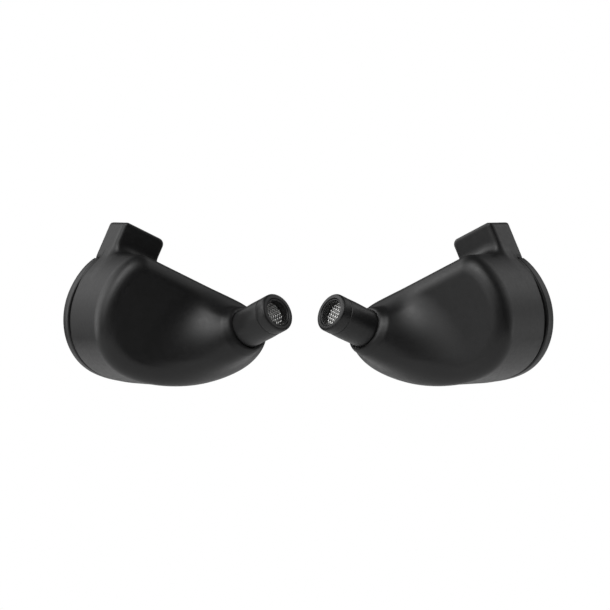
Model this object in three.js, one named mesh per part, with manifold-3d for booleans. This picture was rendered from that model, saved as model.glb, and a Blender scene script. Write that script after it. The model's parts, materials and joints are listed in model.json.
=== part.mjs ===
// A pair of in-ear monitors: two mirrored earpieces with no cable and no ear tips.
// Units are millimetres. +Z is up, +X is the wearer's left, and the nozzles face -Y.
//
// Each earpiece is drawn in its own frame: x runs along the straight top edge from the socket block
// to the nose, y runs up the socket block, and z is the depth from the faceplate's outer face inward.
import * as THREE from "three";
import { mergeVertices } from "three/addons/utils/BufferGeometryUtils.js";
import Module from "manifold-3d";

const wasm = await Module();
wasm.setup();

// ---- Driving dimensions -------------------------------------------------------------------------

const BODY_DEPTH = 13.5; // from the faceplate's outer face to the face that meets the ear
const BODY_CENTRE = new THREE.Vector2(10.4, -6.0);
const DRAFT = 0.001; // share by which the walls draw in for each millimetre of depth
const EDGE_RADIUS = 2.2;
const WALL = 1.0;
const OUTLINE_STEPS = 48;
const INNER_STEPS = 32; // for the hidden copies of the outline

const PLATE_THICKNESS = 1.9;
const PLATE_EDGE = 0.35;
const SHADOW_GAP = 0.8; // between the faceplate and the housing
const NECK_INSET = 1.1;
const NECK_WALL = 0.8;
const GASKET_THICKNESS = 0.24;
const SPIGOT_HEIGHT = 0.8;
const SPIGOT_WALL = 0.6;

const BLOCK_LEFT = 0.1;
const BLOCK_WIDTH = 6.5;
const BLOCK_TOP = 5.7;
const BLOCK_DEPTH = 5.5;
const BLOCK_EDGE = 0.3;
const BLOCK_CORNER = 0.8; // between the top face and the side towards the nose
const BLOCK_LEFT_CORNER = 0.45;
const SOCKET = new THREE.Vector2(BLOCK_LEFT + BLOCK_WIDTH / 2, BLOCK_DEPTH / 2);
const SOCKET_RECESS_RADIUS = 2.05;
const SOCKET_RECESS_DEPTH = 1.6;
const SOCKET_RADIUS = 1.85;
const SOCKET_LENGTH = 3.2;
const WIRE_HOLE_RADIUS = 1.0;
const WIRE_RADIUS = 0.16;

const NOZZLE_BASE = new THREE.Vector3(17.8, -1.62, 17.2);
const NOZZLE_DIRECTION = new THREE.Vector3(0.135, 0.474, 0.87).normalize();
const NOZZLE_LENGTH = 5.9;
const NOZZLE_RADIUS = 2.62;
const NOZZLE_BORE = 1.55;
const NOZZLE_SPIGOT = 2.15;
const MOUTH_RADIUS = 1.95;
const MESH_DEPTH = 1.25;
const MESH_THICKNESS = 0.15;
const GROOVE_HEIGHT = 4.35;
const GROOVE_DEPTH = 0.12;
const TUBE_SEAT = -1.3; // where the tube's shoulder rests in the housing
const BEAD_RADIUS = 3.2; // the housing's rounded bead round the tube's foot
const BEAD_TOP = -0.42;
const MOUND_TOP = -1; // the cone that carries the bead
const MOUND_TOP_RADIUS = 3.6;
const MOUND_FOOT = -9;
const MOUND_SLOPE = 0.65;
const MOUND_INSET = 1; // keeps the cone inside the body's walls

const DRIVER = new THREE.Vector3(13.8, -4.8, 6.2);
const DRIVER_RADIUS = 3.8;
const DRIVER_HEIGHT = 3.8;
const COIL_RADIUS = 2.05;
const CHAMBER_BOSS_WALL = 0.9;

const FIT = 0.05; // clearance between pieces that touch
const ROUND = 28; // segments on the nozzle and the socket
const SMALL_ROUND = 20;

const RIGHT_TURN = THREE.MathUtils.degToRad(24.3);
const LEFT_TURN = THREE.MathUtils.degToRad(30.8);
const LEAN = THREE.MathUtils.degToRad(1.4);
const ROLL = THREE.MathUtils.degToRad(24.4);
const HALF_SPACING = 29.1; // from the pair's middle to the foot of each socket block
const BLOCK_FOOT_HEIGHT = 5.65;

// ---- Materials ----------------------------------------------------------------------------------

function material(color, roughness, metalness = 0) {
  return new THREE.MeshStandardMaterial({ color, roughness, metalness });
}
const SOFT_BLACK = material(0x1c1c1d, 0.55);
const PLATE_BLACK = material(0x1f1f20, 0.5);
const RUBBER_BLACK = material(0x0f0f10, 0.85);
const STEEL_MESH = material(0xa8a8a6, 0.35, 1);
const STEEL = material(0x9a9b9c, 0.3, 1);
const NICKEL = material(0x7d7d80, 0.35, 1);
const GOLD = material(0xc9a24a, 0.25, 1);
const COPPER = material(0xb5673a, 0.35, 1);
const WHITE_RESIN = material(0xe8e6df, 0.6);
const FILM = material(0xb9a98a, 0.4);
const BOARD_GREEN = material(0x1e4a31, 0.5);
const PAPER = material(0x6f6f6a, 0.95);
const RED_COAT = material(0x8c2a22, 0.5);
const BLACK_COAT = material(0x161616, 0.5);

// ---- Solids -------------------------------------------------------------------------------------

function solidOf(geometry) {
  const bare = geometry.clone();
  bare.deleteAttribute("normal");
  bare.deleteAttribute("uv");
  const merged = mergeVertices(bare, 1e-4);
  return new wasm.Manifold(
    new wasm.Mesh({
      numProp: 3,
      vertProperties: merged.getAttribute("position").array,
      triVerts: new Uint32Array(merged.index.array),
    }),
  );
}

function geometryOf(solid) {
  const mesh = solid.getMesh();
  const geometry = new THREE.BufferGeometry();
  geometry.setAttribute("position", new THREE.BufferAttribute(mesh.vertProperties, 3));
  geometry.setIndex(new THREE.BufferAttribute(mesh.triVerts, 1));
  geometry.computeVertexNormals();
  return geometry;
}

function join(...geometries) {
  return geometryOf(geometries.map(solidOf).reduce((all, next) => all.add(next)));
}

function cut(geometry, ...tools) {
  return geometryOf(tools.map(solidOf).reduce((left, tool) => left.subtract(tool), solidOf(geometry)));
}

// A solid of revolution about z. The profile's points are [radius, height], closed on itself.
function turned(profile, segments = SMALL_ROUND) {
  const points = profile.map(([radius, height]) => new THREE.Vector2(radius, height));
  if (THREE.ShapeUtils.area(points) < 0) points.reverse();
  const onAxis = points.filter((point) => point.x === 0).length;
  if (onAxis === 0) {
    points.push(points[0].clone());
  } else {
    // The closed profile is opened along the axis, so that it starts and ends there.
    while (!(points[0].x === 0 && points[points.length - 1].x === 0)) points.push(points.shift());
  }
  return new THREE.LatheGeometry(points, segments).rotateX(Math.PI / 2);
}

function disc(radius, low, high, segments = SMALL_ROUND) {
  return turned([[0, low], [radius, low], [radius, high], [0, high]], segments);
}

function ring(inner, outer, low, high, segments = SMALL_ROUND) {
  return turned([[inner, low], [outer, low], [outer, high], [inner, high]], segments);
}

function slab(low, high) {
  const size = new THREE.Vector3().subVectors(high, low);
  const middle = new THREE.Vector3().addVectors(low, high).multiplyScalar(0.5);
  return new THREE.BoxGeometry(size.x, size.y, size.z).translate(middle.x, middle.y, middle.z);
}

// ---- The body's outline -------------------------------------------------------------------------

function bodyOutline() {
  const outline = new THREE.Shape();
  outline.moveTo(2.7, 1.75);
  outline.bezierCurveTo(0.1, 1.75, -1.4, -1.9, -1.4, -5.3);
  outline.bezierCurveTo(-1.4, -9.9, 1.9, -14.0, 6.5, -14.0);
  outline.bezierCurveTo(13.4, -14.0, 23.0, -7.2, 23.0, -1.9);
  outline.bezierCurveTo(23.0, 0.2, 20.7, 1.75, 17.0, 1.75);
  outline.lineTo(2.7, 1.75);
  return outline;
}

// The outline drawn in by a distance all round, as a new shape.
function insetOutline(distance, steps = OUTLINE_STEPS) {
  const points = bodyOutline().getSpacedPoints(steps).slice(0, steps);
  const moved = points.map((point, i) => {
    const before = points[(i + steps - 1) % steps];
    const after = points[(i + 1) % steps];
    const along = new THREE.Vector2().subVectors(after, before).normalize();
    return new THREE.Vector2(point.x - along.y * distance, point.y + along.x * distance);
  });
  return new THREE.Shape(moved);
}

// An extrusion of the outline from one depth to another, with rounded edges at both ends.
function outlineSlab(inset, low, high, edge = 0, edgeSegments = 2, steps = OUTLINE_STEPS) {
  const geometry = new THREE.ExtrudeGeometry(insetOutline(inset, steps), {
    depth: high - low - 2 * edge,
    bevelEnabled: edge > 0,
    bevelThickness: edge,
    bevelSize: edge,
    bevelOffset: -edge,
    bevelSegments: edgeSegments,
  });
  return geometry.translate(0, 0, low + edge);
}

// The walls lean in towards the body's centre with depth, as moulded walls do.
function drafted(geometry) {
  const position = geometry.getAttribute("position");
  for (let i = 0; i < position.count; i += 1) {
    const share = 1 - DRAFT * position.getZ(i);
    position.setX(i, BODY_CENTRE.x + (position.getX(i) - BODY_CENTRE.x) * share);
    position.setY(i, BODY_CENTRE.y + (position.getY(i) - BODY_CENTRE.y) * share);
  }
  return geometry;
}

// ---- Housing ------------------------------------------------------------------------------------

const HOUSING_REAR = PLATE_THICKNESS + SHADOW_GAP;
const NECK_REAR = PLATE_THICKNESS + GASKET_THICKNESS + 2 * FIT;

// A socket-block profile in x and y, extruded through the block's depth.
function blockGeometry() {
  const right = BLOCK_LEFT + BLOCK_WIDTH;
  const shape = new THREE.Shape();
  shape.moveTo(BLOCK_LEFT, 0);
  shape.lineTo(right, 0);
  shape.lineTo(right, BLOCK_TOP - BLOCK_CORNER);
  shape.absarc(right - BLOCK_CORNER, BLOCK_TOP - BLOCK_CORNER, BLOCK_CORNER, 0, Math.PI / 2);
  const left = BLOCK_LEFT + BLOCK_LEFT_CORNER;
  shape.absarc(left, BLOCK_TOP - BLOCK_LEFT_CORNER, BLOCK_LEFT_CORNER, Math.PI / 2, Math.PI);
  const geometry = new THREE.ExtrudeGeometry(shape, {
    depth: BLOCK_DEPTH - 2 * BLOCK_EDGE,
    bevelThickness: BLOCK_EDGE,
    bevelSize: BLOCK_EDGE,
    bevelOffset: -BLOCK_EDGE,
    bevelSegments: 3,
    curveSegments: 5,
  });
  return geometry.translate(0, 0, BLOCK_EDGE);
}

// The block's root, which buries it in the housing wall behind the faceplate.
function blockRoot() {
  return slab(
    new THREE.Vector3(BLOCK_LEFT + BLOCK_EDGE, -1.6, NECK_REAR),
    new THREE.Vector3(BLOCK_LEFT + BLOCK_WIDTH - BLOCK_EDGE, 1.7, BLOCK_DEPTH - BLOCK_EDGE),
  );
}

// Turns a z-axis geometry of the nozzle into the earpiece's frame.
function alongNozzle(geometry) {
  const tilt = new THREE.Quaternion().setFromUnitVectors(new THREE.Vector3(0, 0, 1), NOZZLE_DIRECTION);
  return geometry.applyQuaternion(tilt).translate(NOZZLE_BASE.x, NOZZLE_BASE.y, NOZZLE_BASE.z);
}

// A broad cone with the bead on top. The body's outline trims the cone's foot.
function moundGeometry() {
  const footRadius = MOUND_TOP_RADIUS + MOUND_SLOPE * (MOUND_TOP - MOUND_FOOT);
  const cone = turned(
    [
      [0, MOUND_FOOT],
      [footRadius, MOUND_FOOT],
      [MOUND_TOP_RADIUS + 0.1, MOUND_TOP - 0.16],
      [MOUND_TOP_RADIUS - 0.15, MOUND_TOP],
      [0, MOUND_TOP],
    ],
    ROUND,
  );
  const bead = turned(
    [
      [0, TUBE_SEAT],
      [BEAD_RADIUS, TUBE_SEAT],
      [BEAD_RADIUS, BEAD_TOP - 0.5],
      [BEAD_RADIUS - 0.12, BEAD_TOP - 0.2],
      [BEAD_RADIUS - 0.4, BEAD_TOP],
      [0, BEAD_TOP],
    ],
    ROUND,
  );
  const within = outlineSlab(MOUND_INSET, BODY_DEPTH / 2, BODY_DEPTH * 2, 0, 0, INNER_STEPS);
  const trimmed = geometryOf(solidOf(alongNozzle(cone)).intersect(solidOf(within)));
  return join(trimmed, alongNozzle(bead));
}

// The ring inside the housing that the driver seals against.
function chamberBoss() {
  const boss = disc(DRIVER_RADIUS + 0.1, DRIVER.z + DRIVER_HEIGHT + 0.5, BODY_DEPTH - WALL);
  return boss.translate(DRIVER.x, DRIVER.y, 0);
}

function chamberBore() {
  const radius = DRIVER_RADIUS + 0.1 - CHAMBER_BOSS_WALL;
  const bore = disc(radius, DRIVER.z + DRIVER_HEIGHT, BODY_DEPTH - WALL - 0.2);
  return bore.translate(DRIVER.x, DRIVER.y, 0);
}

// Drilled down the socket block from its top face.
function socketDrilling(radius, low, high, depth = SOCKET.y) {
  return disc(radius, low, high).rotateX(-Math.PI / 2).translate(SOCKET.x, 0, depth);
}

function housingGeometry() {
  const wallStart = HOUSING_REAR;
  const raw = drafted(outlineSlab(0, -3, BODY_DEPTH, EDGE_RADIUS, 4));
  const behind = slab(new THREE.Vector3(-20, -30, -10), new THREE.Vector3(40, 20, wallStart));
  const body = cut(raw, behind);
  const neck = outlineSlab(NECK_INSET, NECK_REAR, wallStart + 0.5, 0, 0, INNER_STEPS);
  const outer = join(body, neck, blockGeometry(), blockRoot(), moundGeometry());
  const neckOpening = outlineSlab(NECK_INSET + NECK_WALL, 0.5, wallStart + 1, 0, 0, INNER_STEPS);
  const cavity = drafted(
    outlineSlab(WALL + 0.15, wallStart + 0.6, BODY_DEPTH - WALL, EDGE_RADIUS - WALL, 1, INNER_STEPS),
  );
  const hollow = cut(outer, cavity, neckOpening);
  const withBoss = join(hollow, cut(chamberBoss(), chamberBore()));
  const socketTop = BLOCK_TOP - SOCKET_RECESS_DEPTH;
  return cut(
    withBoss,
    socketDrilling(SOCKET_RECESS_RADIUS, socketTop, BLOCK_TOP + 1),
    socketDrilling(SOCKET_RADIUS + FIT, socketTop - SOCKET_LENGTH - 2 * FIT, BLOCK_TOP),
    socketDrilling(WIRE_HOLE_RADIUS, -2.2, 1.5, SOCKET.y + 0.6),
    alongNozzle(disc(NOZZLE_SPIGOT + FIT, -5, 2)),
    alongNozzle(disc(NOZZLE_RADIUS + 2 * FIT, TUBE_SEAT - FIT, 2, ROUND)),
    alongNozzle(disc(NOZZLE_BORE, -8, -4.5)),
  );
}

// ---- Faceplate and gasket -----------------------------------------------------------------------

function faceplateGeometry() {
  const plate = drafted(outlineSlab(0, 0, PLATE_THICKNESS, PLATE_EDGE, 2));
  const blockSeat = slab(
    new THREE.Vector3(BLOCK_LEFT - 0.1, -0.1, -2),
    new THREE.Vector3(BLOCK_LEFT + BLOCK_WIDTH + 0.1, 5, 6),
  );
  const spigotTop = PLATE_THICKNESS + SPIGOT_HEIGHT;
  const inset = NECK_INSET + NECK_WALL + 0.1;
  const spigot = cut(
    outlineSlab(inset, PLATE_THICKNESS - 0.5, spigotTop, 0, 0, INNER_STEPS),
    outlineSlab(inset + SPIGOT_WALL, PLATE_THICKNESS, spigotTop + 1, 0, 0, INNER_STEPS),
  );
  const wireNotch = slab(
    new THREE.Vector3(SOCKET.x - 1.5, -3.5, PLATE_THICKNESS),
    new THREE.Vector3(SOCKET.x + 1.5, 5, spigotTop + 1),
  );
  return cut(join(plate, spigot), blockSeat, wireNotch);
}

function gasketGeometry() {
  const low = PLATE_THICKNESS + FIT;
  const high = low + GASKET_THICKNESS;
  return cut(
    outlineSlab(NECK_INSET + 0.05, low, high, 0, 0, INNER_STEPS),
    outlineSlab(NECK_INSET + NECK_WALL - 0.05, low - 1, high + 1, 0, 0, INNER_STEPS),
    slab(
      new THREE.Vector3(BLOCK_LEFT - 0.2, -0.2, low - 1),
      new THREE.Vector3(BLOCK_LEFT + BLOCK_WIDTH + 0.2, 5, high + 1),
    ),
  );
}

// ---- Nozzle -------------------------------------------------------------------------------------

function nozzleTubeGeometry() {
  const tip = NOZZLE_LENGTH;
  const seat = tip - MESH_DEPTH - MESH_THICKNESS - 0.1;
  const profile = [
    [NOZZLE_BORE, -4.9],
    [NOZZLE_SPIGOT, -4.9],
    [NOZZLE_SPIGOT, TUBE_SEAT],
    [NOZZLE_RADIUS, TUBE_SEAT],
    [NOZZLE_RADIUS, GROOVE_HEIGHT - 0.1],
    [NOZZLE_RADIUS - GROOVE_DEPTH, GROOVE_HEIGHT],
    [NOZZLE_RADIUS, GROOVE_HEIGHT + 0.1],
    [NOZZLE_RADIUS, tip - 0.35],
    [NOZZLE_RADIUS - 0.1, tip - 0.12],
    [NOZZLE_RADIUS - 0.3, tip],
    [MOUTH_RADIUS, tip],
    [MOUTH_RADIUS, seat],
    [NOZZLE_BORE, seat],
  ];
  return turned(profile, ROUND);
}

function nozzlePieces(side) {
  const group = new THREE.Group();
  group.position.copy(NOZZLE_BASE);
  group.quaternion.setFromUnitVectors(new THREE.Vector3(0, 0, 1), NOZZLE_DIRECTION);
  const meshTop = NOZZLE_LENGTH - MESH_DEPTH;
  const inside = MOUTH_RADIUS - FIT;
  add(group, `${side}_nozzle_tube`, nozzleTubeGeometry(), SOFT_BLACK);
  add(group, `${side}_nozzle_mesh`, disc(inside, meshTop - MESH_THICKNESS, meshTop), STEEL_MESH);
  const retainer = ring(inside - 0.2, inside, meshTop + FIT, NOZZLE_LENGTH - 0.15, ROUND);
  add(group, `${side}_mesh_retainer`, retainer, RUBBER_BLACK);
  add(group, `${side}_acoustic_damper`, disc(NOZZLE_BORE - FIT, 1.2, 2.4, 20), PAPER);
  return group;
}

// ---- Driver -------------------------------------------------------------------------------------

// A dynamic driver, its height measured from the yoke's rear face towards the nozzle.
const YOKE_RADIUS = 2.9;
const GAP_OUTER = 2.35;
const POLE_RADIUS = 1.75;
const FILM_HEIGHT = 3.0;
const FILM_THICKNESS = 0.12;

function driverFrameGeometry() {
  return turned([
    [YOKE_RADIUS + FIT, 0.5],
    [DRIVER_RADIUS, 0.5],
    [DRIVER_RADIUS, DRIVER_HEIGHT - 0.35],
    [DRIVER_RADIUS - 0.25, DRIVER_HEIGHT - 0.35],
    [DRIVER_RADIUS - 0.25, FILM_HEIGHT - FIT],
    [DRIVER_RADIUS - 0.6, FILM_HEIGHT - FIT],
    [DRIVER_RADIUS - 0.6, 2.2],
    [YOKE_RADIUS + FIT, 2.2],
  ]);
}

function yokeGeometry() {
  const cup = turned([
    [0.4, 0],
    [YOKE_RADIUS, 0],
    [YOKE_RADIUS, 2.45],
    [GAP_OUTER, 2.45],
    [GAP_OUTER, 0.5],
    [0.4, 0.5],
  ]);
  return cup;
}

function domeGeometry() {
  const radius = COIL_RADIUS + 0.1;
  const rise = 0.25;
  const steps = 3;
  const under = [];
  const over = [];
  for (let i = 0; i <= steps; i += 1) {
    const r = (radius * i) / steps;
    const height = FILM_HEIGHT + rise * (1 - (i / steps) ** 2);
    under.push([r, height]);
    over.unshift([r, height + FILM_THICKNESS]);
  }
  return turned([...under, ...over]);
}

function surroundGeometry() {
  const inner = COIL_RADIUS + 0.2;
  const outer = DRIVER_RADIUS - 0.3;
  const rise = 0.3;
  const steps = 4;
  const under = [];
  const over = [];
  for (let i = 0; i <= steps; i += 1) {
    const share = i / steps;
    const r = inner + (outer - inner) * share;
    const height = FILM_HEIGHT + rise * Math.sin(Math.PI * Math.min(1, share * 1.25));
    under.push([r, height]);
    over.unshift([r, height + FILM_THICKNESS]);
  }
  return turned([...under, ...over]);
}

function driverCoverGeometry() {
  const low = DRIVER_HEIGHT - 0.3;
  const plate = disc(DRIVER_RADIUS - 0.05, low, low + 0.3);
  const holes = [disc(0.8, low - 1, low + 1, 16)];
  for (let i = 0; i < 6; i += 1) {
    const angle = (i * Math.PI) / 3;
    const hole = disc(0.35, low - 1, low + 1, 10);
    holes.push(hole.translate(2.1 * Math.cos(angle), 2.1 * Math.sin(angle), 0));
  }
  return cut(plate, ...holes);
}

function terminalBoardGeometry() {
  const board = slab(new THREE.Vector3(-3.75, -1.3, 0.1), new THREE.Vector3(-3.0, 1.3, 0.42));
  return board;
}

function driverPieces(side) {
  const group = new THREE.Group();
  group.position.copy(DRIVER);
  add(group, `${side}_driver_frame`, driverFrameGeometry(), RUBBER_BLACK);
  add(group, `${side}_driver_yoke`, yokeGeometry(), STEEL);
  add(group, `${side}_driver_magnet`, ring(0.4, POLE_RADIUS - 0.05, 0.55, 1.85), NICKEL);
  add(group, `${side}_driver_top_plate`, ring(0.4, POLE_RADIUS, 1.9, 2.4), STEEL);
  add(group, `${side}_diaphragm_dome`, domeGeometry(), FILM);
  add(group, `${side}_diaphragm_surround`, surroundGeometry(), FILM);
  const coil = ring(COIL_RADIUS - 0.1, COIL_RADIUS + 0.1, 1.2, FILM_HEIGHT - 0.02);
  add(group, `${side}_voice_coil`, coil, COPPER);
  add(group, `${side}_driver_cover`, driverCoverGeometry(), NICKEL);
  add(group, `${side}_rear_damping_disc`, disc(1.4, -0.17, -FIT, 20), PAPER);
  add(group, `${side}_terminal_board`, terminalBoardGeometry(), BOARD_GREEN);
  const seal = ring(3.05, DRIVER_RADIUS, DRIVER_HEIGHT + FIT, DRIVER_HEIGHT + 0.45);
  add(group, `${side}_driver_gasket`, seal, RUBBER_BLACK);
  return group;
}

// ---- Cable socket -------------------------------------------------------------------------------

function socketPieces(side) {
  const group = new THREE.Group();
  group.position.set(SOCKET.x, BLOCK_TOP - SOCKET_RECESS_DEPTH - SOCKET_LENGTH, SOCKET.y);
  group.rotation.x = -Math.PI / 2;
  const body = turned(
    [
      [1.1, 0],
      [SOCKET_RADIUS, 0],
      [SOCKET_RADIUS, SOCKET_LENGTH - 0.1],
      [SOCKET_RADIUS - 0.1, SOCKET_LENGTH],
      [1.4, SOCKET_LENGTH],
      [1.25, SOCKET_LENGTH - 0.15],
      [1.25, SOCKET_LENGTH - 0.7],
      [1.38, SOCKET_LENGTH - 0.85],
      [1.38, SOCKET_LENGTH - 1.15],
      [1.25, SOCKET_LENGTH - 1.3],
      [1.25, 1.0],
      [1.1, 1.0],
    ],
    ROUND,
  );
  add(group, `${side}_socket_body`, body, GOLD);
  add(group, `${side}_socket_insulator`, ring(0.35, 1.05, 0.05, 1.2), WHITE_RESIN);
  const contact = turned([
    [0, -0.45],
    [0.3, -0.45],
    [0.3, 2.1],
    [0.2, 2.3],
    [0, 2.3],
  ], 16);
  add(group, `${side}_socket_contact`, contact, GOLD);
  return group;
}

// An insulated wire through a few points, with a section of six sides.
function wireGeometry(points) {
  const section = new THREE.Shape();
  section.absarc(0, 0, WIRE_RADIUS, 0, 2 * Math.PI);
  const route = new THREE.CatmullRomCurve3(points.map((point) => new THREE.Vector3(...point)));
  return new THREE.ExtrudeGeometry(section, { steps: 14, curveSegments: 3, extrudePath: route });
}

function wirePieces(side) {
  const group = new THREE.Group();
  const boardEdge = DRIVER.x - 3.4;
  const boardRear = DRIVER.z - 0.2;
  const signal = [
    [SOCKET.x, 0.2, 2.45],
    [SOCKET.x + 0.05, -0.6, 2.95],
    [SOCKET.x + 0.3, -1.9, 3.5],
    [SOCKET.x + 2.2, -3.0, 4.4],
    [boardEdge - 2.0, DRIVER.y + 1.2, 5.0],
    [boardEdge - 0.4, DRIVER.y + 0.7, 5.5],
    [boardEdge, DRIVER.y + 0.7, boardRear],
  ];
  const ground = [
    [SOCKET.x - 0.55, 0.5, 3.6],
    [SOCKET.x - 0.55, -0.6, 3.7],
    [SOCKET.x - 0.3, -2.2, 4.2],
    [SOCKET.x + 1.6, -4.6, 5.2],
    [boardEdge - 2.2, DRIVER.y - 0.9, 5.4],
    [boardEdge - 0.5, DRIVER.y - 0.7, 5.5],
    [boardEdge, DRIVER.y - 0.7, boardRear],
  ];
  add(group, `${side}_signal_wire`, wireGeometry(signal), RED_COAT);
  add(group, `${side}_ground_wire`, wireGeometry(ground), BLACK_COAT);
  return group;
}

// ---- Assembly -----------------------------------------------------------------------------------

function add(group, name, geometry, look) {
  const mesh = new THREE.Mesh(geometry, look);
  mesh.name = name;
  group.add(mesh);
}

function earpiece(side) {
  const group = new THREE.Group();
  add(group, `${side}_housing`, housingGeometry(), SOFT_BLACK);
  add(group, `${side}_faceplate`, faceplateGeometry(), PLATE_BLACK);
  add(group, `${side}_faceplate_gasket`, gasketGeometry(), RUBBER_BLACK);
  group.add(nozzlePieces(side), driverPieces(side), socketPieces(side), wirePieces(side));
  return group;
}

// Stands an earpiece as it is worn: rolled about its depth, leant back, then turned about the vertical.
function worn(side, turn) {
  const rolled = earpiece(side);
  rolled.name = `${side}_frame`;
  rolled.rotation.z = -ROLL;
  const leant = new THREE.Group();
  leant.rotation.x = Math.PI / 2 + LEAN;
  leant.add(rolled);
  const facing = new THREE.Group();
  facing.rotation.z = turn;
  facing.position.set(-HALF_SPACING, 0, BLOCK_FOOT_HEIGHT);
  facing.add(leant);
  return facing;
}

const pair = new THREE.Group();
pair.add(worn("right", RIGHT_TURN));
const mirror = new THREE.Group();
mirror.scale.x = -1;
mirror.add(worn("left", LEFT_TURN));
pair.add(mirror);

// The origin is the middle of the pair's bounding box.
const middle = new THREE.Box3().setFromObject(pair, true).getCenter(new THREE.Vector3());
pair.position.copy(middle).negate();

export default pair;
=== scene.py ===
"""A pair of matte black in-ear monitors, worn side forward on a plain white ground.

Every piece is drawn in its earpiece's own frame, in millimetres: x runs along the straight top edge
from the socket block to the nose, y up the socket block, and z from the faceplate's outer face inward.
The CAD frame's mounts say where that frame lies, and the left earpiece is the right one's mirror image.
"""

import json
import math

import bpy
import numpy as np
from mathutils import Matrix, Vector


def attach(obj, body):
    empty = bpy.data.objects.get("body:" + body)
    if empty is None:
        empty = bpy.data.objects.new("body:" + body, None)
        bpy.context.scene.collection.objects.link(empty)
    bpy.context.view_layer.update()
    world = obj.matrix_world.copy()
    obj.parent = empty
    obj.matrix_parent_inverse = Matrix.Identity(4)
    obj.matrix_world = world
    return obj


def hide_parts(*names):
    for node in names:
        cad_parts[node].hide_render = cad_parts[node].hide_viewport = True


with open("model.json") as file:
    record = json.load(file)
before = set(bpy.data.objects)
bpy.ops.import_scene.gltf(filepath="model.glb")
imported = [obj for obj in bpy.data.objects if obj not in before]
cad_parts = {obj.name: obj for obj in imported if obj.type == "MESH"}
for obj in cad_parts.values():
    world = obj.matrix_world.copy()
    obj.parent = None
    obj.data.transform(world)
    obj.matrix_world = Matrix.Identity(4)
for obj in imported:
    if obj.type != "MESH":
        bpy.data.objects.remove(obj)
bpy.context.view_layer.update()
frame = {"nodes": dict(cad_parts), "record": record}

MM = 0.001
SIDES = ("right", "left")

# ---- Dimensions in millimetres: the CAD model's sizes, with softer edges and fillets ------------

PLATE_MOUNT = (10.4, -6.0, 0.0)  # where the faceplate's mount lies in the earpiece's frame
BODY_DEPTH = 13.5
BODY_EDGE = 2.3
WALL_DRAFT = 0.01  # how far the wall draws in for each millimetre of depth
WALL = 1.1
FACE_WALL = 1.0
CHAMBER_EDGE = 1.2
CHAMBER_REAR_EDGE = 0.3
GAP_REAR = 2.7
GAP_EDGE = 0.22
GAP_CLOSED, GAP_OPEN = 1.9, 6.0  # distances from the socket block where the gap starts and is fully open
NECK_INSET = 1.1
NECK_WALL = 0.8
NECK_REAR = 2.24
NECK_OVERLAP = 0.6  # how far the neck runs into the body beyond the gap
PLATE_THICKNESS = 1.9
CLOSED_GAP = 0.04  # left between lid and body where the gap is closed

BLOCK_LOW = (0.1, 0.0, 0.0)
BLOCK_HIGH = (6.6, 5.7, 5.5)
BLOCK_EDGE = 0.38
BLOCK_CORNER = 0.85
BLOCK_SIDE_EDGE = 0.8
BLOCK_ROOT = -3.2
BLOCK_BLEND_INNER = 1.6  # reach of the fillet under the block's inner face
BLOCK_BLEND_OUTER = 1.8  # and at the block's outer side
BLOCK_SIDE_ZONE = (-0.5, 4.0)  # x over which the outer side's fillet turns into the inner face's
BLOCK_FLARE = 1.2  # how softly the outer side runs into the wall
BLOCK_FLARE_INNER = 0.6
BLOCK_SEAM_BLEND = 0.4
LEAST_BLEND = 0.05
BLOCK_SPREAD = 3.0
SOCKET_X, SOCKET_Z = 3.35, 2.75
SOCKET_RECESS = 2.05
SOCKET_RECESS_FLOOR = 4.1
SOCKET_RADIUS = 1.85
SOCKET_LENGTH = 3.2
SOCKET_LOW = 0.9

NOZZLE_BASE = np.array((17.8, -1.62, 17.2))
NOZZLE_DIRECTION = np.array((0.135, 0.474, 0.87))
NOZZLE_DIRECTION /= np.linalg.norm(NOZZLE_DIRECTION)
NOZZLE_LENGTH = 5.9
NOZZLE_RADIUS = 2.62
NOZZLE_WAIST = 2.59
NOZZLE_BORE = 1.55
NOZZLE_SPIGOT = 2.15
GROOVE_HEIGHT = 4.35
MOUTH_RADIUS = 1.95
MESH_DEPTH = 1.25
MESH_PITCH = 0.33
WIRE_RADIUS = 0.075

SEAT_HEIGHT = -1.3
BEAD_RADIUS = 3.2
BEAD_TOP = -0.42
BEAD_ROUND = 0.62
BEAD_BLEND = 0.7
MOUND_TOP = -1.0
MOUND_TOP_RADIUS = 3.6
MOUND_TOP_EDGE = 0.25
MOUND_SLOPE = 0.65
MOUND_FOOT = -11.0
MOUND_BLEND = 3.0
MOUND_WALL_INSET = 1.35  # how far inside the body's wall the mound stays
MOUND_SIDE_EDGE = 2.2

DRIVER_CENTRE = (13.8, -4.8)
BOSS_RADIUS = 3.9
BOSS_LOW = 10.5
BOSS_WALL = 0.9

GRID = 0.2  # spacing of the samples that the housing's surface is found from
OUTLINE_STEPS = 240
ROUND = 96

# ---- Placing ------------------------------------------------------------------------------------


def earpiece_matrix(side):
    """The matrix from an earpiece's own millimetres to the row frame's metres."""
    mounts = {mount["name"]: mount for mount in frame["record"]["mounts"]}
    plate = mounts[f"{side}_faceplate_outer_face"]
    seat = mounts[f"{side}_cable_plug_seat"]
    depth = -Vector(plate["axis"]).normalized()
    up = Vector(seat["axis"]).normalized()
    along = up.cross(depth) * (1 if side == "right" else -1)
    turn = Matrix((along, up, depth)).transposed()
    origin = Vector(plate["pos_m"]) - turn @ Vector(PLATE_MOUNT) * MM
    return np.array(turn) * MM, np.array(origin)


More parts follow.
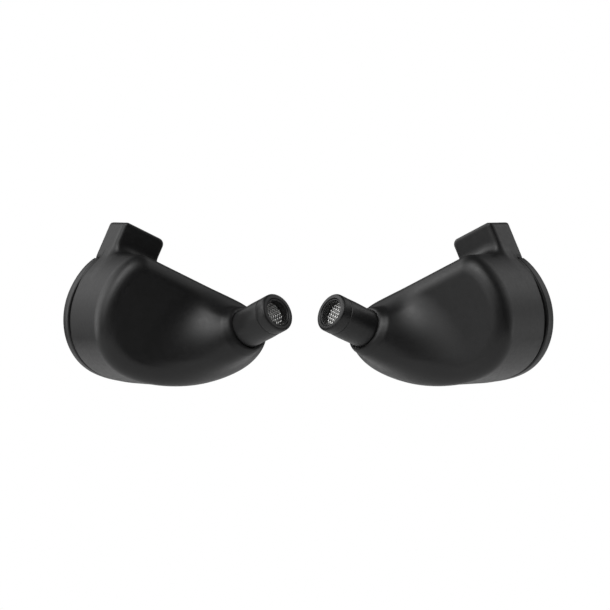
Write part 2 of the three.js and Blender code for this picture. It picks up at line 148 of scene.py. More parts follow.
def piece(name, side, points, faces, material, node=None, sharp_degrees=38):
    """Makes a mesh piece from points in the earpiece's frame, and rides it on its body."""
    turn, origin = earpiece_matrix(side)
    placed = np.asarray(points, dtype=float) @ turn.T + origin
    wound = [tuple(reversed(face)) for face in faces] if side == "left" else faces
    mesh = bpy.data.meshes.new(name)
    mesh.from_pydata(placed.tolist(), [], wound)
    mesh.validate()
    mesh.shade_smooth()
    mesh.set_sharp_from_angle(angle=math.radians(sharp_degrees))
    mesh.materials.append(material)
    made = bpy.data.objects.new(name, mesh)
    bpy.context.scene.collection.objects.link(made)
    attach(made, f"{side}_earpiece")
    if node:
        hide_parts(f"{side}_{node}")
    return made


# ---- Curves and swept shapes --------------------------------------------------------------------


def bezier(start, first, second, end, steps):
    """Points along a cubic Bezier curve, without its end point."""
    t = np.linspace(0, 1, steps, endpoint=False)[:, None]
    start, first, second, end = (np.array(p, dtype=float) for p in (start, first, second, end))
    return (
        start * (1 - t) ** 3
        + first * 3 * t * (1 - t) ** 2
        + second * 3 * t * t * (1 - t)
        + end * t**3
    )


def body_outline(count):
    """The body's outline, seen along z: evenly spaced points, anticlockwise."""
    fine = 400
    curve = np.concatenate(
        [
            bezier((2.7, 1.75), (0.1, 1.75), (-1.4, -1.9), (-1.4, -5.3), fine),
            bezier((-1.4, -5.3), (-1.4, -9.9), (1.9, -14.0), (6.5, -14.0), fine),
            bezier((6.5, -14.0), (13.4, -14.0), (23.0, -7.2), (23.0, -1.9), fine),
            bezier((23.0, -1.9), (23.0, 0.2), (20.7, 1.75), (17.0, 1.75), fine),
            bezier((17.0, 1.75), (12.0, 1.75), (7.0, 1.75), (2.7, 1.75), fine),
        ]
    )
    closed = np.vstack([curve, curve[:1]])
    run = np.concatenate([[0], np.cumsum(np.linalg.norm(np.diff(closed, axis=0), axis=1))])
    wanted = np.linspace(0, run[-1], count, endpoint=False)
    return np.stack([np.interp(wanted, run, closed[:, i]) for i in (0, 1)], axis=1)


def inward_normals(points):
    along = np.roll(points, -1, axis=0) - np.roll(points, 1, axis=0)
    along /= np.linalg.norm(along, axis=1, keepdims=True)
    return np.stack([-along[:, 1], along[:, 0]], axis=1)


def ring_faces(rings, count, closed=False):
    """Quads between rings of points. A closed sweep also joins its last ring to its first."""
    faces = []
    for level in range(rings if closed else rings - 1):
        low, high = level * count, (level + 1) % rings * count
        for i in range(count):
            j = (i + 1) % count
            faces.append((low + i, low + j, high + j, high + i))
    return faces


def outline_sweep(profile, count=OUTLINE_STEPS, closed=False):
    """Sweeps a profile of (inset, z) round the outline. An open profile is capped at both ends."""
    outline = body_outline(count)
    inward = inward_normals(outline)
    rings = [
        np.column_stack([outline + inward * (inset + WALL_DRAFT * z), np.full(count, z)])
        for inset, z in profile
    ]
    faces = ring_faces(len(profile), count, closed)
    if not closed:
        last = (len(profile) - 1) * count
        faces.append(tuple(range(count - 1, -1, -1)))
        faces.append(tuple(range(last, last + count)))
    return np.concatenate(rings), faces


def arc(centre, radius, first, last, steps=5):
    """Points of a profile's round corner, from one angle in degrees to another."""
    angles = np.radians(np.linspace(first, last, steps))
    return [(centre[0] + radius * math.cos(a), centre[1] + radius * math.sin(a)) for a in angles]


def lathe(profile, segments=ROUND):
    """Turns a profile of (radius, height) about z. It runs anticlockwise as seen with r to the right.

    A profile that touches the axis starts and ends on it; any other closes on itself.
    """
    angles = np.linspace(0, 2 * math.pi, segments, endpoint=False)
    on_axis = profile[0][0] == 0
    middle = profile[1:-1] if on_axis else profile
    rings = [
        np.column_stack([r * np.cos(angles), r * np.sin(angles), np.full(segments, h)])
        for r, h in middle
    ]
    points = np.concatenate(rings)
    faces = ring_faces(len(middle), segments, closed=not on_axis)
    if on_axis:
        bottom, top = len(points), len(points) + 1
        points = np.vstack([points, (0, 0, profile[0][1]), (0, 0, profile[-1][1])])
        last = (len(middle) - 1) * segments
        for i in range(segments):
            j = (i + 1) % segments
            faces.append((bottom, j, i))
            faces.append((top, last + i, last + j))
    return points, faces


def along_nozzle(points):
    """Moves points drawn about z into the nozzle's place."""
    z_axis = Vector((0, 0, 1))
    turn = np.array(z_axis.rotation_difference(Vector(NOZZLE_DIRECTION)).to_matrix())
    return np.asarray(points) @ turn.T + NOZZLE_BASE


def along_socket(points):
    """Moves points drawn about z, with their foot at zero, into the socket's place."""
    points = np.asarray(points)
    return np.column_stack([points[:, 0] + SOCKET_X, points[:, 2] + SOCKET_LOW, SOCKET_Z - points[:, 1]])


# ---- Distance fields for the housing ------------------------------------------------------------
# Each field gives the distance to a shape's surface in millimetres, below zero inside the shape.


class OutlineField:
    """The signed distance to the body's outline, looked up on a fine square grid."""

    STEP = 0.1
    MARGIN = 3.5

    def __init__(self):
        loop = body_outline(300)
        self.low = loop.min(axis=0) - self.MARGIN
        counts = np.ceil((loop.max(axis=0) + self.MARGIN - self.low) / self.STEP).astype(int) + 1
        axes = [self.low[i] + self.STEP * np.arange(counts[i]) for i in (0, 1)]
        grid = np.stack(np.meshgrid(*axes, indexing="ij"), axis=-1).reshape(-1, 2)
        self.values = self.distance(grid, loop).reshape(counts)

    @staticmethod
    def distance(points, loop):
        nearest = np.full(len(points), np.inf)
        inside = np.zeros(len(points), dtype=bool)
        for a, b in zip(loop, np.roll(loop, -1, axis=0)):
            edge = b - a
            offset = points - a
            share = np.clip(offset @ edge / (edge @ edge), 0, 1)
            nearest = np.minimum(nearest, ((offset - share[:, None] * edge) ** 2).sum(axis=1))
            crosses = (a[1] > points[:, 1]) != (b[1] > points[:, 1])
            if crosses.any():
                reach = a[0] + (points[:, 1] - a[1]) / (b[1] - a[1]) * edge[0]
                inside ^= crosses & (points[:, 0] < reach)
        return np.sqrt(nearest) * np.where(inside, -1, 1)

    def __call__(self, x, y):
        u = np.clip((x - self.low[0]) / self.STEP, 0, self.values.shape[0] - 1.001)
        v = np.clip((y - self.low[1]) / self.STEP, 0, self.values.shape[1] - 1.001)
        i, j = u.astype(int), v.astype(int)
        u, v = u - i, v - j
        near = self.values[i, j] * (1 - v) + self.values[i, j + 1] * v
        far = self.values[i + 1, j] * (1 - v) + self.values[i + 1, j + 1] * v
        return near * (1 - u) + far * u


def rounded_and(a, b, radius):
    """The intersection of two shapes, with its edge rounded."""
    corner = np.sqrt(np.maximum(a + radius, 0) ** 2 + np.maximum(b + radius, 0) ** 2)
    return np.minimum(-radius, np.maximum(a, b)) + corner


def blended_or(a, b, reach):
    """The union of two shapes, with a soft fillet where they meet."""
    near = np.maximum(reach - np.abs(a - b), 0) / reach
    return np.minimum(a, b) - near * near * reach / 4


def smooth_step(value, low, high):
    share = np.clip((value - low) / (high - low), 0, 1)
    return share * share * (3 - 2 * share)


def block_distance(x, y):
    """The distance from the block's sides, seen along z."""
    across = np.maximum(np.maximum(BLOCK_LOW[0] - x, x - BLOCK_HIGH[0]), 0)
    down = np.maximum(BLOCK_LOW[1] - y, 0)
    return np.hypot(across, down)


def blend_block(body, outline, x, y, z):
    """Joins the block to the body.

    Its inner face runs into the body's wall with a soft fillet. The joined shape is cut by one outer
    side, which flares out into the wall, and is then blended with the body again so that the cut leaves
    no seam. Its foot stays clear of the lid, which is notched for it.
    """
    low, high = BLOCK_LOW, BLOCK_HIGH
    past_lid = smooth_step(z, PLATE_THICKNESS, GAP_REAR + NECK_OVERLAP)
    towards_side = 1 - smooth_step(x, *BLOCK_SIDE_ZONE)
    reach = BLOCK_BLEND_INNER + (BLOCK_BLEND_OUTER - BLOCK_BLEND_INNER) * towards_side
    wide = rounded_and(x - high[0], y - high[1], BLOCK_CORNER)
    wide = np.maximum(wide, low[0] - BLOCK_SPREAD - x)
    wide = rounded_and(wide, np.maximum(z - high[2], low[2] - z), BLOCK_EDGE)
    foot = np.maximum(BLOCK_ROOT - y, np.minimum(low[1] - y, GAP_REAR - z))
    joined = blended_or(body, np.maximum(wide, foot), LEAST_BLEND + reach * past_lid)
    spread = BLOCK_FLARE_INNER + (BLOCK_FLARE - BLOCK_FLARE_INNER) * towards_side
    flare = LEAST_BLEND + past_lid * spread
    side = blended_or(outline, low[0] - x, flare)
    return blended_or(body, rounded_and(joined, side, BLOCK_SIDE_EDGE), BLOCK_SEAM_BLEND)


def nozzle_coordinates(x, y, z):
    """The distance from the nozzle's axis, and the height along it."""
    dx, dy, dz = x - NOZZLE_BASE[0], y - NOZZLE_BASE[1], z - NOZZLE_BASE[2]
    height = dx * NOZZLE_DIRECTION[0] + dy * NOZZLE_DIRECTION[1] + dz * NOZZLE_DIRECTION[2]
    radius = np.sqrt(np.maximum(dx * dx + dy * dy + dz * dz - height * height, 0))
    return radius, height


def drilled(radius, along, size, low, high):
    """A round hole from one height to another."""
    return np.maximum(radius - size, np.maximum(low - along, along - high))


def mound_field(radius, height, wall):
    """The broad cone that carries the nozzle. It stays inside the body's wall."""
    cone = (radius - MOUND_TOP_RADIUS + MOUND_SLOPE * (height - MOUND_TOP)) / math.hypot(1, MOUND_SLOPE)
    mound = rounded_and(cone, height - MOUND_TOP, MOUND_TOP_EDGE)
    mound = np.maximum(mound, MOUND_FOOT - height)
    return rounded_and(mound, wall + MOUND_WALL_INSET, MOUND_SIDE_EDGE)


def bead_field(radius, height):
    """The rounded bead that the nozzle's tube stands in."""
    bead = rounded_and(radius - BEAD_RADIUS, height - BEAD_TOP, BEAD_ROUND)
    return np.maximum(bead, SEAT_HEIGHT - 2 - height)


def housing_outside(x, y, z, outline):
    wall = outline + WALL_DRAFT * z
    opening = smooth_step(block_distance(x, y), GAP_CLOSED, GAP_OPEN)
    rear = PLATE_THICKNESS + CLOSED_GAP + (GAP_REAR - PLATE_THICKNESS - CLOSED_GAP) * opening
    body = rounded_and(rounded_and(wall, z - BODY_DEPTH, BODY_EDGE), rear - z, GAP_EDGE)
    radius, height = nozzle_coordinates(x, y, z)
    body = blended_or(body, mound_field(radius, height, wall), MOUND_BLEND)
    body = blended_or(body, bead_field(radius, height), BEAD_BLEND)
    body = blend_block(body, wall, x, y, z)
    neck = np.maximum(outline + NECK_INSET, np.maximum(NECK_REAR - z, z - GAP_REAR - NECK_OVERLAP))
    return np.minimum(body, neck)


def housing_inside(x, y, z, outline):
    """Everything that is hollow: the chamber, the drillings and the nozzle's seat."""
    wall = outline + WALL_DRAFT * z + WALL
    chamber = rounded_and(wall, z - BODY_DEPTH + FACE_WALL, CHAMBER_EDGE)
    chamber = rounded_and(chamber, GAP_REAR + NECK_OVERLAP - z, CHAMBER_REAR_EDGE)
    opening = np.maximum(outline + NECK_INSET + NECK_WALL, np.maximum(0.5 - z, z - GAP_REAR - 1))
    from_driver = np.hypot(x - DRIVER_CENTRE[0], y - DRIVER_CENTRE[1])
    boss = drilled(from_driver, z, BOSS_RADIUS, BOSS_LOW, BODY_DEPTH)
    boss = np.maximum(boss, BOSS_RADIUS - BOSS_WALL - from_driver)
    hollow = np.maximum(np.minimum(chamber, opening), -boss)
    radius, height = nozzle_coordinates(x, y, z)
    holes = [
        drilled(radius, height, NOZZLE_BORE, -8.0, -4.5),
        drilled(radius, height, NOZZLE_SPIGOT + 0.05, -5.0, 2.0),
        drilled(radius, height, NOZZLE_WAIST + 0.04, SEAT_HEIGHT - 0.05, 3.0),
    ]
    from_socket = np.hypot(x - SOCKET_X, z - SOCKET_Z)
    holes.append(drilled(from_socket, y, SOCKET_RECESS, SOCKET_RECESS_FLOOR, 9.0))
    holes.append(drilled(from_socket, y, SOCKET_RADIUS + 0.05, SOCKET_LOW - 0.1, 9.0))
    holes.append(drilled(np.hypot(x - SOCKET_X, z - SOCKET_Z - 0.6), y, 1.0, -2.2, 1.5))
    for hole in holes:
        hollow = np.minimum(hollow, hole)
    return hollow


def housing_field(points, outline_field):
    x, y, z = points[..., 0], points[..., 1], points[..., 2]
    outline = outline_field(x, y)
    outside = housing_outside(x, y, z, outline)
    inside = housing_inside(x, y, z, outline)
    return rounded_and(outside, -inside, 0.1)


def crossed_cells(values, low, step):
    """One point for each grid cell that the surface passes through: the mean of its edge crossings."""
    shape = tuple(n - 1 for n in values.shape)
    total = np.zeros(shape + (3,), dtype=np.float32)
    count = np.zeros(shape, dtype=np.float32)
    for axis in range(3):
        others = [a for a in range(3) if a != axis]
        for shift in ((0, 0), (0, 1), (1, 0), (1, 1)):
            start = [0, 0, 0]
            start[others[0]], start[others[1]] = shift
            stop = list(start)
            stop[axis] = 1
            a = values[tuple(slice(s, s + n) for s, n in zip(start, shape))]
            b = values[tuple(slice(s, s + n) for s, n in zip(stop, shape))]
            crossing = (a < 0) != (b < 0)
            share = np.where(crossing, a / np.where(crossing, a - b, 1), 0)
            count += crossing
            total[..., axis] += np.where(crossing, share, 0)
            for other, s in zip(others, shift):
                total[..., other] += np.where(crossing, s, 0)
    cells = np.argwhere(count > 0)
    index = np.full(shape, -1)
    index[tuple(cells.T)] = np.arange(len(cells))
    inner = total[tuple(cells.T)] / count[tuple(cells.T)][:, None]
    return (cells + inner) * step + low, index


def surface_quads(values, index):
    """A quad round each grid edge that the surface crosses, facing out."""
    quads = []
    for axis in range(3):
        b, c = (axis + 1) % 3, (axis + 2) % 3
        start = [slice(1, -1)] * 3
        stop = [slice(1, -1)] * 3
        start[axis], stop[axis] = slice(0, -1), slice(1, None)
        first, second = values[tuple(start)] < 0, values[tuple(stop)] < 0
        for leaving in (True, False):
            places = np.argwhere(first & ~second if leaving else ~first & second)
            places += [0 if a == axis else 1 for a in range(3)]
            corners = []
            for shift_b, shift_c in ((-1, -1), (0, -1), (0, 0), (-1, 0)):
                cell = places.copy()
                cell[:, b] += shift_b
                cell[:, c] += shift_c
                corners.append(index[tuple(cell.T)])
            quad = np.stack(corners, axis=1)
            quads.append(quad if leaving else quad[:, ::-1])
    return np.concatenate(quads)


def settle(points, field, rounds=4):
    """Moves points along the field's slope until they lie on its surface."""
    reach = 0.01
    for _ in range(rounds):
        value = field(points)
        slope = np.stack(
            [
                (field(points + reach * unit) - field(points - reach * unit)) / (2 * reach)
                for unit in np.eye(3)
            ],
            axis=1,
        )
        step = value[:, None] * slope / np.maximum((slope**2).sum(axis=1), 0.25)[:, None]
        points = points - np.clip(step, -GRID, GRID)
    return points


def housing_shape():
    """The housing as one closed shell with its chamber, drillings and soft fillets."""
    outline_field = OutlineField()
    low = np.array((-2.1, -14.6, -0.6))
    high = np.array((23.7, 6.3, 19.2))
    counts = np.ceil((high - low) / GRID).astype(int) + 1
    axes = [low[i] + GRID * np.arange(counts[i]) for i in range(3)]
    grid = np.stack(np.meshgrid(*axes, indexing="ij"), axis=-1)
    values = housing_field(grid, outline_field)
    points, index = crossed_cells(values, low, GRID)
    quads = surface_quads(values, index)
    return settle(points, lambda p: housing_field(p, outline_field)), quads


# ---- Materials ----------------------------------------------------------------------------------


class Look:
    """A small helper that builds one node-based material."""

    def __init__(self, name):
        self.material = bpy.data.materials.new(name)
        self.material.use_nodes = True
        self.nodes = self.material.node_tree.nodes
        self.links = self.material.node_tree.links
        self.shader = self.nodes["Principled BSDF"]
        self.place = self.nodes.new("ShaderNodeTexCoord").outputs["Object"]

    def set(self, **values):
        for name, value in values.items():
            self.shader.inputs[name.replace("_", " ")].default_value = value
        return self

    def noise(self, size_mm, detail=3.0, roughness=0.55):
        node = self.nodes.new("ShaderNodeTexNoise")
        node.inputs["Scale"].default_value = 1 / (size_mm * MM)
        node.inputs["Detail"].default_value = detail
        node.inputs["Roughness"].default_value = roughness
        self.links.new(self.place, node.inputs["Vector"])
        return node.outputs["Fac"]

    def ramp(self, value, low, high):
        """Maps a noise's middle range to two values."""
        node = self.nodes.new("ShaderNodeMapRange")
        node.inputs["From Min"].default_value = 0.3
        node.inputs["From Max"].default_value = 0.7
        node.inputs["To Min"].default_value = low
        node.inputs["To Max"].default_value = high
        self.links.new(value, node.inputs["Value"])
        return node.outputs["Result"]

    def colours(self, value, first, second):
        node = self.nodes.new("ShaderNodeMix")
        node.data_type = "RGBA"
        node.inputs["A"].default_value = (*first, 1)
        node.inputs["B"].default_value = (*second, 1)
        self.links.new(value, node.inputs["Factor"])
        self.links.new(node.outputs["Result"], self.shader.inputs["Base Color"])
        return self

    def rough(self, value, low, high):
        self.links.new(self.ramp(value, low, high), self.shader.inputs["Roughness"])
        return self

    def bump(self, value, depth_mm, strength=1.0):
        node = self.nodes.new("ShaderNodeBump")
        node.inputs["Distance"].default_value = depth_mm * MM
        node.inputs["Strength"].default_value = strength
        self.links.new(value, node.inputs["Height"])
        earlier = self.shader.inputs["Normal"].links
        if earlier:
            self.links.new(earlier[0].from_socket, node.inputs["Normal"])
        self.links.new(node.outputs["Normal"], self.shader.inputs["Normal"])
        return self


def soft_black(name, first, second, low, high):
    """Moulded plastic with a soft-touch finish: a fine even grain and faint broad variation."""
    look = Look(name)
    look.set(Specular_IOR_Level=0.5)
    look.colours(look.noise(2.2, 4.0), first, second)
    look.rough(look.noise(0.5, 3.0), low, high)
    look.bump(look.noise(0.16, 2.0), 0.006).bump(look.noise(0.05, 2.0), 0.003)
    return look.material


def metal(name, first, second, low, high, grain_mm=0.05):
    look = Look(name)
    look.set(Metallic=1.0)
    look.colours(look.noise(0.4, 3.0), first, second)
    look.rough(look.noise(grain_mm, 3.0), low, high)
    look.bump(look.noise(grain_mm, 2.0), 0.002)
    return look.material


def moulded(name, first, second, low, high, grain_mm=0.08, depth_mm=0.004):
    look = Look(name)
    look.colours(look.noise(0.5, 4.0), first, second)
    look.rough(look.noise(0.2, 3.0), low, high)
    look.bump(look.noise(grain_mm, 3.0), depth_mm)
    return look.material


def felt(name, first, second):
    look = Look(name)
    look.set(Sheen_Weight=0.3)
    look.colours(look.noise(0.12, 6.0, 0.7), first, second)
    look.rough(look.noise(0.1, 3.0), 0.85, 1.0)
    look.bump(look.noise(0.06, 6.0, 0.7), 0.03)
    return look.material


LOOKS = {
    "soft_black": soft_black("soft_black_plastic", (0.010,) * 3, (0.014, 0.014, 0.0145), 0.33, 0.41),
    "plate_black": soft_black("plate_plastic", (0.011,) * 3, (0.015, 0.015, 0.0155), 0.32, 0.40),
    "rubber_black": moulded("gasket_rubber", (0.006,) * 3, (0.010,) * 3, 0.75, 0.9),
    "retainer_black": moulded("retainer_plastic", (0.008,) * 3, (0.012,) * 3, 0.3, 0.42),
    "steel_mesh": metal("mesh_steel", (0.8, 0.8, 0.79), (0.9, 0.9, 0.88), 0.22, 0.34),
    "damper_felt": felt("damper_felt", (0.10, 0.10, 0.095), (0.2, 0.2, 0.19)),
    "driver_black": moulded("driver_plastic", (0.008,) * 3, (0.013,) * 3, 0.35, 0.5),
    "magnet_steel": metal("magnet_steel", (0.5, 0.5, 0.5), (0.6, 0.6, 0.59), 0.25, 0.4),
    "magnet_nickel": metal("magnet_nickel", (0.44, 0.43, 0.42), (0.55, 0.54, 0.52), 0.2, 0.32),
    "diaphragm_film": moulded("diaphragm_film", (0.42, 0.37, 0.26), (0.5, 0.44, 0.32), 0.25, 0.4),
    "coil_copper": metal("coil_copper", (0.55, 0.27, 0.13), (0.66, 0.34, 0.18), 0.25, 0.4),
    "cover_nickel": metal("cover_nickel", (0.4, 0.4, 0.41), (0.5, 0.5, 0.5), 0.3, 0.45),
    "board_green": moulded("board_resin", (0.015, 0.07, 0.03), (0.02, 0.1, 0.045), 0.3, 0.45),
    "contact_gold": metal("contact_gold", (0.72, 0.5, 0.19), (0.82, 0.6, 0.26), 0.16, 0.3),
    "socket_resin": moulded("socket_resin", (0.66, 0.64, 0.58), (0.74, 0.72, 0.67), 0.4, 0.55),
    "wire_red": moulded("wire_red_enamel", (0.3, 0.025, 0.02), (0.4, 0.04, 0.03), 0.2, 0.3),
    "wire_black": moulded("wire_black_enamel", (0.008,) * 3, (0.013,) * 3, 0.2, 0.3),
}


def dress_cad_nodes():
    """Gives each CAD node the node-based material of its slot."""
    for row in frame["record"]["subparts"]:
        shown = frame["nodes"][row["node"]]
        shown.data.materials.clear()
        shown.data.materials.append(LOOKS[row["material_slot"]])


# ---- Pieces -------------------------------------------------------------------------------------


def notch(made, side, low, high):
    """Cuts the socket block's seat out of a piece."""
    turn, origin = earpiece_matrix(side)
    corners = [(x, y, z) for x in (low[0], high[0]) for y in (low[1], high[1]) for z in (low[2], high[2])]
    faces = [(0, 1, 3, 2), (4, 6, 7, 5), (0, 4, 5, 1), (2, 3, 7, 6), (0, 2, 6, 4), (1, 5, 7, 3)]
    mesh = bpy.data.meshes.new("cutter")
    if side == "left":
        faces = [tuple(reversed(face)) for face in faces]
    mesh.from_pydata((np.array(corners) @ turn.T + origin).tolist(), [], faces)
    cutter = bpy.data.objects.new("cutter", mesh)
    bpy.context.scene.collection.objects.link(cutter)
    change = made.modifiers.new("notch", "BOOLEAN")
    change.object, change.operation, change.solver = cutter, "DIFFERENCE", "EXACT"
    graph = bpy.context.evaluated_depsgraph_get()
    result = bpy.data.meshes.new_from_object(made.evaluated_get(graph))
    made.modifiers.clear()
    made.data = result
    bpy.data.objects.remove(cutter)
    result.set_sharp_from_angle(angle=math.radians(30))


BLOCK_CLEARANCE = 0.04
NOTCH_LOW = (BLOCK_LOW[0] - BLOCK_CLEARANCE, BLOCK_LOW[1] - BLOCK_CLEARANCE, -2.0)
NOTCH_HIGH = (BLOCK_HIGH[0] + BLOCK_CLEARANCE, 9.0, 6.0)


def make_faceplate(side):
    """The flat lid, its outer edge softly rounded and its inner edge crisper."""
    outer, inner = 0.5, 0.25
    profile = [(outer + 0.3, 0.0), (outer + 0.08, 0.0)]
    profile += [(outer - x, outer - y) for x, y in arc((0, 0), outer, 90, 0, 7)]
    rear = PLATE_THICKNESS - inner
    profile += [(inner - x, rear + y) for x, y in arc((0, 0), inner, 0, 90, 5)]
    profile.append((inner + 0.4, PLATE_THICKNESS))
    points, faces = outline_sweep(profile)
    made = piece(f"{side}_faceplate_lid", side, points, faces, LOOKS["plate_black"], "faceplate")
    notch(made, side, NOTCH_LOW, NOTCH_HIGH)


def make_gasket(side):
    outside, inside = NECK_INSET + 0.05, NECK_INSET + NECK_WALL - 0.05
    low, high = PLATE_THICKNESS + 0.05, PLATE_THICKNESS + 0.29
    profile = [(inside, low), (outside + 0.06, low), (outside, low + 0.06)]
    profile += [(outside, high - 0.06), (outside + 0.06, high), (inside, high)]
    points, faces = outline_sweep(profile, 160, closed=True)
    made = piece(f"{side}_lid_gasket", side, points, faces, LOOKS["rubber_black"], "faceplate_gasket")
    notch(made, side, NOTCH_LOW, NOTCH_HIGH)


def make_housing(side, shape):
    points, quads = shape
    made = piece(f"{side}_shell", side, points, quads.tolist(), LOOKS["soft_black"], "housing", 50)


def nozzle_profile():
    """The tube's section, from its inner foot round the outside to the mouth's seat."""
    tip = NOZZLE_LENGTH
    seat = tip - MESH_DEPTH - 0.3
    groove = 0.075
    lip = [(NOZZLE_RADIUS - 0.32 + x, tip - 0.32 + y) for x, y in arc((0, 0), 0.32, 0, 90, 7)]
    return (
        [(NOZZLE_BORE, -4.9), (NOZZLE_SPIGOT, -4.9), (NOZZLE_SPIGOT, SEAT_HEIGHT)]
        + [(NOZZLE_WAIST, SEAT_HEIGHT), (NOZZLE_WAIST, 0.6), (NOZZLE_WAIST + 0.02, 1.6)]
        + [(NOZZLE_WAIST + 0.05, 2.8)]
        + [(NOZZLE_RADIUS - 0.01, GROOVE_HEIGHT - 0.2), (NOZZLE_RADIUS - 0.02, GROOVE_HEIGHT - 0.07)]
        + [(NOZZLE_RADIUS - groove, GROOVE_HEIGHT - 0.03), (NOZZLE_RADIUS - groove, GROOVE_HEIGHT + 0.03)]
        + [(NOZZLE_RADIUS - 0.02, GROOVE_HEIGHT + 0.07), (NOZZLE_RADIUS, GROOVE_HEIGHT + 0.2)]
        + lip
        + [(MOUTH_RADIUS + 0.06, tip), (MOUTH_RADIUS, tip - 0.06)]
        + [(MOUTH_RADIUS, seat), (NOZZLE_BORE, seat)]
    )


def make_nozzle(side):
    points, faces = lathe(nozzle_profile())
    look = LOOKS["soft_black"]
    made = piece(f"{side}_nozzle", side, along_nozzle(points), faces, look, "nozzle_tube", 30)


def make_retainer(side):
    """The ring pressed into the mouth, which holds the mesh down."""
    outer, inner = MOUTH_RADIUS - 0.03, MOUTH_RADIUS - 0.23
    low, high = NOZZLE_LENGTH - MESH_DEPTH + 0.06, NOZZLE_LENGTH - 0.12
    edge = 0.05
    profile = [(inner, low), (outer, low), (outer, high - edge), (outer - edge, high)]
    profile += [(inner + edge, high), (inner, high - edge)]
    points, faces = lathe(profile)
    look = LOOKS["retainer_black"]
    made = piece(f"{side}_mouth_ring", side, along_nozzle(points), faces, look, "mesh_retainer", 30)


def wire_tube(path, radius, sides=6):
    """A round wire along a path of points, closed at both ends."""
    along = np.gradient(path, axis=0)
    along /= np.linalg.norm(along, axis=1, keepdims=True)
    across = np.cross(along, (0.0, 0.0, 1.0))
    across /= np.linalg.norm(across, axis=1, keepdims=True)
    over = np.cross(across, along)
    angles = np.linspace(0, 2 * math.pi, sides, endpoint=False)
    rings = [path + radius * (math.cos(a) * across + math.sin(a) * over) for a in angles]
    points = np.stack(rings, axis=1).reshape(-1, 3)
    faces = [tuple(reversed(face)) for face in ring_faces(len(path), sides)]
    last = len(points) - sides
    faces += [tuple(range(sides)), tuple(range(len(points) - 1, last - 1, -1))]
    return points, faces


def make_mesh(side):
    """Woven steel cloth: wires that pass over and under each other both ways."""
    radius = MOUTH_RADIUS - 0.06
    height = NOZZLE_LENGTH - MESH_DEPTH - 0.06
    count = int(radius / MESH_PITCH)
    all_points, all_faces = [], []
    for way in (0, 1):
        for k in range(-count, count + 1):
            offset = k * MESH_PITCH
            half = math.sqrt(radius**2 - offset**2)
            steps = max(4, round(2 * half / (MESH_PITCH / 4)))
            run = np.linspace(-half, half, steps)
            wave = WIRE_RADIUS * np.cos(math.pi * (run / MESH_PITCH + k + way))
            level = np.full(steps, offset)
            columns = (run, level, height + wave) if way == 0 else (level, run, height + wave)
            points, faces = wire_tube(np.stack(columns, axis=1), WIRE_RADIUS)
            start = sum(len(p) for p in all_points)
            all_points.append(points)
            all_faces += [tuple(i + start for i in face) for face in faces]
    points = along_nozzle(np.concatenate(all_points))
    made = piece(f"{side}_woven_mesh", side, points, all_faces, LOOKS["steel_mesh"], "nozzle_mesh", 60)


def make_socket(side):
    """The coaxial cable socket: a gold barrel, its insulator and the centre contact."""
    top = SOCKET_LENGTH
    barrel = [(1.1, 0), (SOCKET_RADIUS - 0.05, 0), (SOCKET_RADIUS, 0.05), (SOCKET_RADIUS, top - 0.12)]
    barrel += [(SOCKET_RADIUS - 0.04, top - 0.03), (SOCKET_RADIUS - 0.12, top), (1.45, top)]
    barrel += [(1.36, top - 0.03), (1.26, top - 0.14), (1.25, top - 0.7), (1.36, top - 0.82)]
    barrel += [(1.36, top - 1.15), (1.25, top - 1.27), (1.25, 1.25), (1.1, 1.25)]
    insulator = [(0.35, 0.05), (1.05, 0.05), (1.05, 1.15), (1.0, 1.2), (0.42, 1.2), (0.35, 1.13)]
    contact = [(0, -0.45), (0.3, -0.45), (0.3, 2.0), (0.27, 2.12), (0.18, 2.24), (0.08, 2.3), (0, 2.3)]
    for name, node, profile, slot in (
        ("socket_barrel", "socket_body", barrel, "contact_gold"),
        ("socket_washer", "socket_insulator", insulator, "socket_resin"),
        ("socket_pin", "socket_contact", contact, "contact_gold"),
    ):
        points, faces = lathe(profile, 64)
        made = piece(f"{side}_{name}", side, along_socket(points), faces, LOOKS[slot], node, 30)


# ---- Studio -------------------------------------------------------------------------------------

VIEW_WIDTH = 0.0817  # metres across the picture at the object
CAMERA_DISTANCE = 0.6
SENSOR = 36.0
AIM = (-0.00045, 0.0, -0.00030)  # where the camera looks, in metres

# The studio's soft boxes: the angle round the object in degrees, from the viewer towards +X, the angle
# above the table, and the strength. A key light over the viewer's left shoulder, a bright bank on the
# left, a weaker one on the right, and two lights behind that draw the upper edges.
SOFT_BOXES = {
    "key": (-25, 50, 5.5),
    "front_left": (-45, 20, 2.0),
    "left_bank_high": (-90, 30, 3.0),
    "left_bank_low": (-100, 0, 3.0),
    "back_left": (-130, 30, 1.5),
    "back_right": (130, 30, 1.0),
    "right_bank_high": (95, 30, 1.0),
    "right_bank_low": (105, -10, 1.5),
}
SOFT_BOX_FOCUS = 20.0
STUDIO_FILL = 0.01

TABLE_RADIUS = 0.3  # metres
TABLE_HEIGHT = -0.075


def make_camera():
    data = bpy.data.cameras.new("camera")
    data.sensor_width = SENSOR
    data.lens = SENSOR * CAMERA_DISTANCE / VIEW_WIDTH
    data.clip_start, data.clip_end = 0.05, 20.0
    camera = bpy.data.objects.new("camera", data)
    camera.location = (AIM[0], -CAMERA_DISTANCE, AIM[2])
    camera.rotation_euler = (math.radians(90), 0, 0)
    bpy.context.scene.collection.objects.link(camera)
    bpy.context.scene.camera = camera


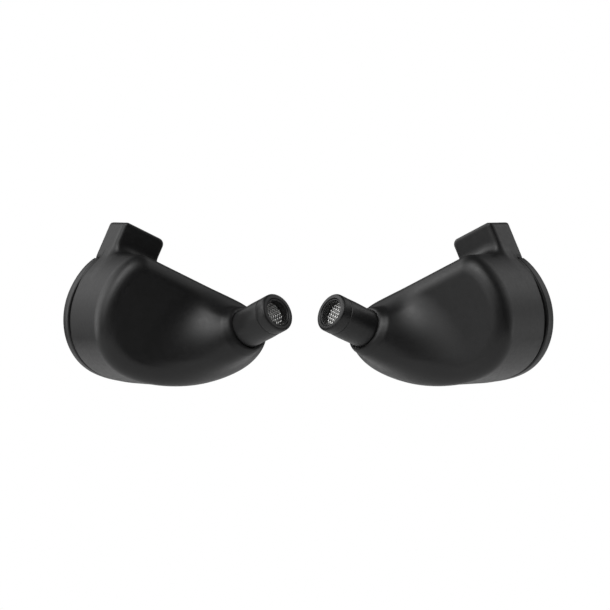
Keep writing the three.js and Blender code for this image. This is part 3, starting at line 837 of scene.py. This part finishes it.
def make_world():
    """A white studio lit by the soft boxes: the camera sees white, and the object sees the boxes."""
    world = bpy.data.worlds.new("studio")
    bpy.context.scene.world = world
    world.use_nodes = True
    nodes, links = world.node_tree.nodes, world.node_tree.links
    nodes.clear()
    out = nodes.new("ShaderNodeOutputWorld")
    mix = nodes.new("ShaderNodeMixShader")
    path = nodes.new("ShaderNodeLightPath")
    seen = nodes.new("ShaderNodeBackground")
    lit = nodes.new("ShaderNodeBackground")
    seen.inputs["Color"].default_value = (1, 1, 1, 1)
    seen.inputs["Strength"].default_value = 1.0
    place = nodes.new("ShaderNodeTexCoord")

    def maths(operation, first, second):
        node = nodes.new("ShaderNodeMath")
        node.operation = operation
        links.new(first, node.inputs[0])
        if isinstance(second, float):
            node.inputs[1].default_value = second
        else:
            links.new(second, node.inputs[1])
        return node.outputs["Value"]

    def soft_box(round_angle, height_angle, strength):
        """A lobe that is brightest in its middle and fades smoothly away from it."""
        turn, rise = math.radians(round_angle), math.radians(height_angle)
        middle = (math.sin(turn) * math.cos(rise), -math.cos(turn) * math.cos(rise), math.sin(rise))
        towards = nodes.new("ShaderNodeVectorMath")
        towards.operation = "DOT_PRODUCT"
        towards.inputs[1].default_value = middle
        links.new(place.outputs["Generated"], towards.inputs[0])
        away = maths("SUBTRACT", towards.outputs["Value"], 1.0)
        fade = nodes.new("ShaderNodeMath")
        fade.operation = "EXPONENT"
        links.new(maths("MULTIPLY", away, SOFT_BOX_FOCUS), fade.inputs[0])
        return maths("MULTIPLY", fade.outputs["Value"], strength)

    total = None
    for placing in SOFT_BOXES.values():
        box = soft_box(*placing)
        total = box if total is None else maths("ADD", total, box)
    links.new(maths("ADD", total, STUDIO_FILL), lit.inputs["Strength"])
    links.new(path.outputs["Is Camera Ray"], mix.inputs["Fac"])
    links.new(lit.outputs["Background"], mix.inputs[1])
    links.new(seen.outputs["Background"], mix.inputs[2])
    links.new(mix.outputs["Shader"], out.inputs["Surface"])


def make_floor():
    """A pale round table well below the earpieces."""
    angles = np.linspace(0, 2 * math.pi, 64, endpoint=False)
    points = [(TABLE_RADIUS * math.cos(a), TABLE_RADIUS * math.sin(a), TABLE_HEIGHT) for a in angles]
    mesh = bpy.data.meshes.new("table")
    mesh.from_pydata(points, [], [tuple(range(64))])
    look = Look("pale_table")
    look.colours(look.noise(30.0), (0.86, 0.86, 0.86), (0.9, 0.9, 0.9)).rough(look.noise(3.0), 0.7, 0.85)
    mesh.materials.append(look.material)
    floor = bpy.data.objects.new("table", mesh)
    bpy.context.scene.collection.objects.link(floor)


# ---- The scene ----------------------------------------------------------------------------------

make_camera()
make_world()
make_floor()

dress_cad_nodes()
shell = housing_shape()
for side in SIDES:
    make_housing(side, shell)
    make_faceplate(side)
    make_gasket(side)
    make_nozzle(side)
    make_retainer(side)
    make_mesh(side)
    make_socket(side)

scene = bpy.context.scene
scene.view_settings.view_transform = "Standard"
scene.view_settings.look = "None"
